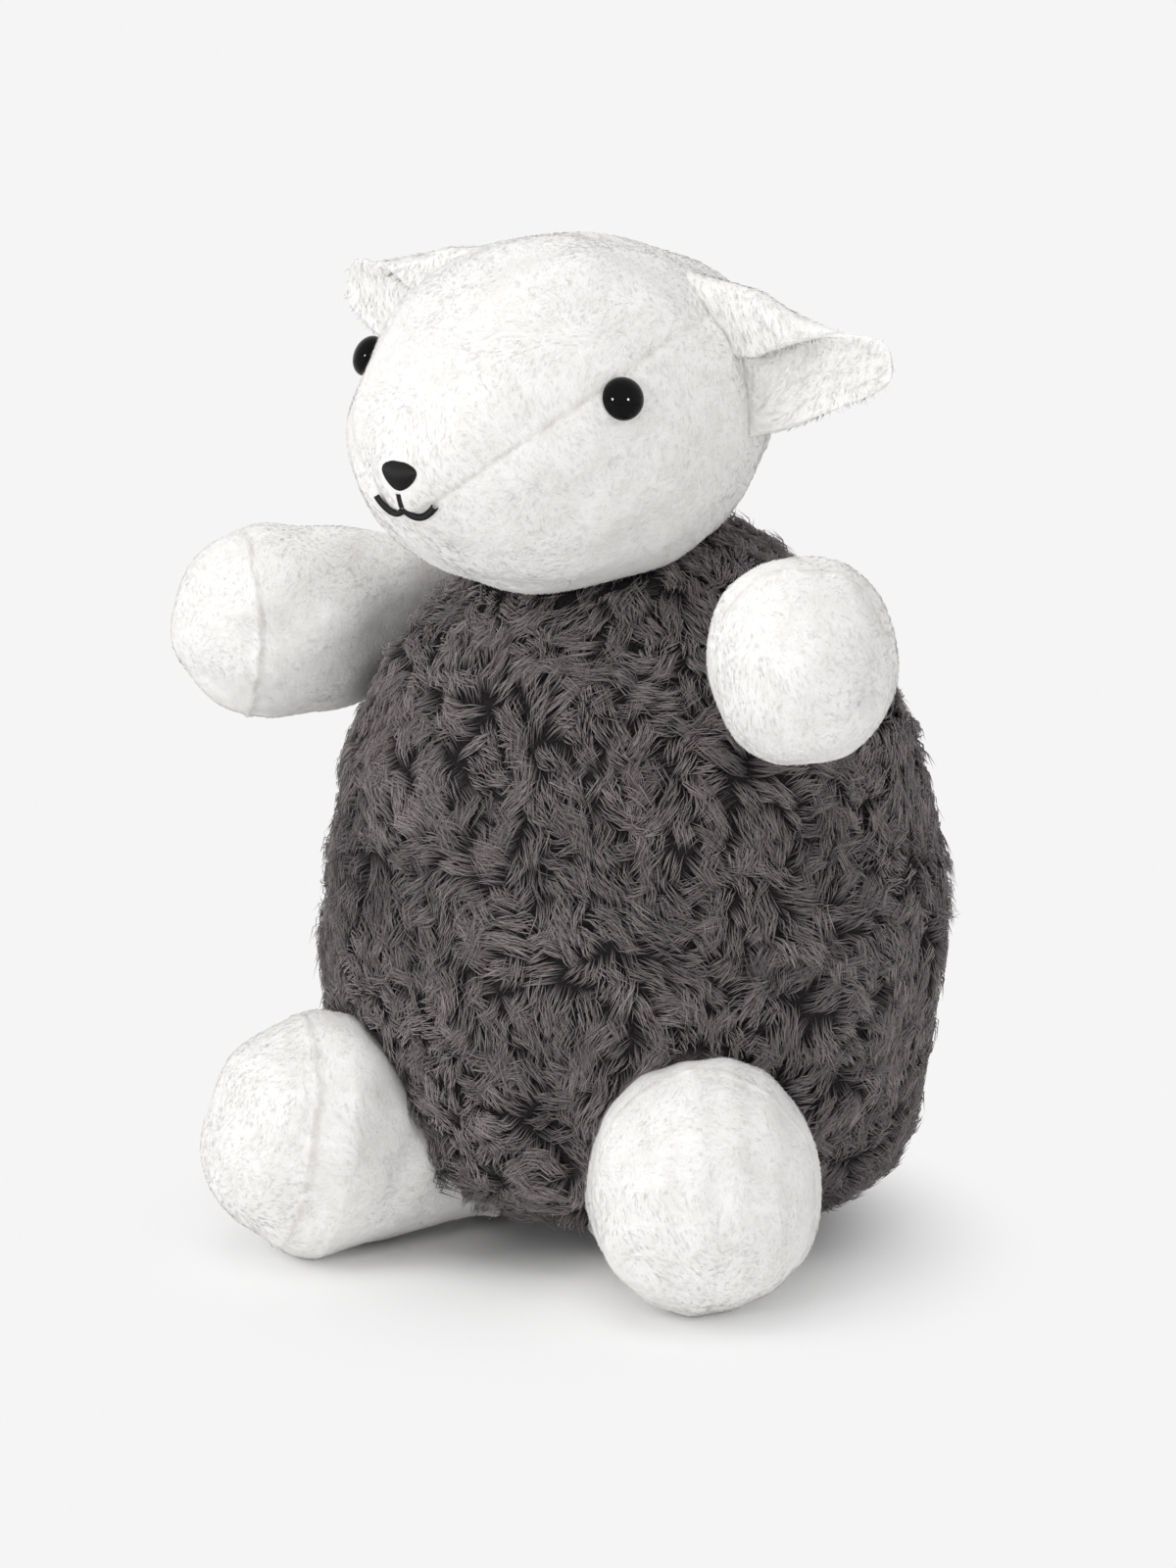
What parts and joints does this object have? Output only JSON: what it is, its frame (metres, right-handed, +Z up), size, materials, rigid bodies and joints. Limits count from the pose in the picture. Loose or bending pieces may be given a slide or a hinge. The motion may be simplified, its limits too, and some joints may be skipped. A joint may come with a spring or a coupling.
{
  "type": "plush sheep",
  "caption": "Sitting plush sheep with a round long-pile fleece body, short-pile head and limbs, domed eyes and folded ears, all hinged softly at their seams.",
  "frame": {"origin": "on the floor under the middle of the body, on the flat base", "axes": "+Z up; the face looks along -Y; the toy's own left side is at +X"},
  "size_m": [0.305, 0.2749, 0.3643],
  "materials": {
    "grey_fleece": "long matted pile, matte",
    "white_plush": "short brushed pile, soft sheen",
    "fibre_filling": "loose polyester fibre",
    "pellet_bag_cotton": "plain woven cotton over plastic pellets",
    "black_plastic": "polished",
    "washer_plastic": "as moulded",
    "black_thread": "satin stitch, slight sheen",
    "white_thread": "waxed thread"
  },
  "bodies": {
    "body": {"body_front_panel": "grey_fleece", "body_back_panel": "grey_fleece", "base_panel": "grey_fleece", "body_filling": "fibre_filling", "pellet_bag": "pellet_bag_cotton"},
    "neck": {"neck_stitching": "white_thread"},
    "head": {"head_top_panel": "white_plush", "head_left_panel": "white_plush", "head_right_panel": "white_plush", "head_filling": "fibre_filling", "eye_left": "black_plastic", "eye_right": "black_plastic", "eye_washer_left": "washer_plastic", "eye_washer_right": "washer_plastic", "nose_embroidery": "black_thread", "stem_embroidery": "black_thread", "mouth_embroidery": "black_thread"},
    "ear_left": {"ear_left_outer": "white_plush", "ear_left_inner": "white_plush"},
    "ear_right": {"ear_right_outer": "white_plush", "ear_right_inner": "white_plush"},
    "arm_left": {"arm_left_sleeve": "white_plush", "arm_left_end_pad": "white_plush", "arm_left_filling": "fibre_filling"},
    "arm_right": {"arm_right_sleeve": "white_plush", "arm_right_end_pad": "white_plush", "arm_right_filling": "fibre_filling"},
    "leg_left": {"leg_left_sleeve": "white_plush", "leg_left_end_pad": "white_plush", "leg_left_filling": "fibre_filling"},
    "leg_right": {"leg_right_sleeve": "white_plush", "leg_right_end_pad": "white_plush", "leg_right_filling": "fibre_filling"}
  },
  "joints": [
    {"name": "head_nod", "type": "hinge", "parent": "body", "child": "neck", "pos_m": [0, 0, 0.178], "axis": [1, 0, 0], "range_deg": [-8, 8], "stiffness_Nm_per_rad": 6},
    {"name": "head_turn", "type": "hinge", "parent": "neck", "child": "head", "pos_m": [0, 0, 0.178], "axis": [0, -0.3426, 0.9395], "range_deg": [-15, 15], "stiffness_Nm_per_rad": 3},
    {"name": "ear_left_flap", "type": "hinge", "parent": "head", "child": "ear_left", "pos_m": [0.06439, -0.03636, 0.32009], "axis": [-0.2334, 0, 0.9724], "range_deg": [-18, 18], "stiffness_Nm_per_rad": 0.2},
    {"name": "ear_right_flap", "type": "hinge", "parent": "head", "child": "ear_right", "pos_m": [-0.06163, -0.03636, 0.3278], "axis": [-0.3502, 0, -0.9367], "range_deg": [-18, 18], "stiffness_Nm_per_rad": 0.2},
    {"name": "arm_left_swing", "type": "hinge", "parent": "body", "child": "arm_left", "pos_m": [0.08229, -0.014, 0.218], "axis": [-0.5795, 0.0986, 0.809], "range_deg": [-15, 50], "stiffness_Nm_per_rad": 1},
    {"name": "arm_right_swing", "type": "hinge", "parent": "body", "child": "arm_right", "pos_m": [-0.08229, -0.014, 0.218], "axis": [-0.5795, -0.0986, -0.809], "range_deg": [-15, 50], "stiffness_Nm_per_rad": 1},
    {"name": "leg_left_swing", "type": "hinge", "parent": "body", "child": "leg_left", "pos_m": [0.05, -0.04301, 0.01], "axis": [0.7431, 0.6691, 0], "range_deg": [0, 35], "stiffness_Nm_per_rad": 1},
    {"name": "leg_right_swing", "type": "hinge", "parent": "body", "child": "leg_right", "pos_m": [-0.038, -0.05201, 0.01], "axis": [0.866, -0.5, 0], "range_deg": [0, 35], "stiffness_Nm_per_rad": 1}
  ]
}
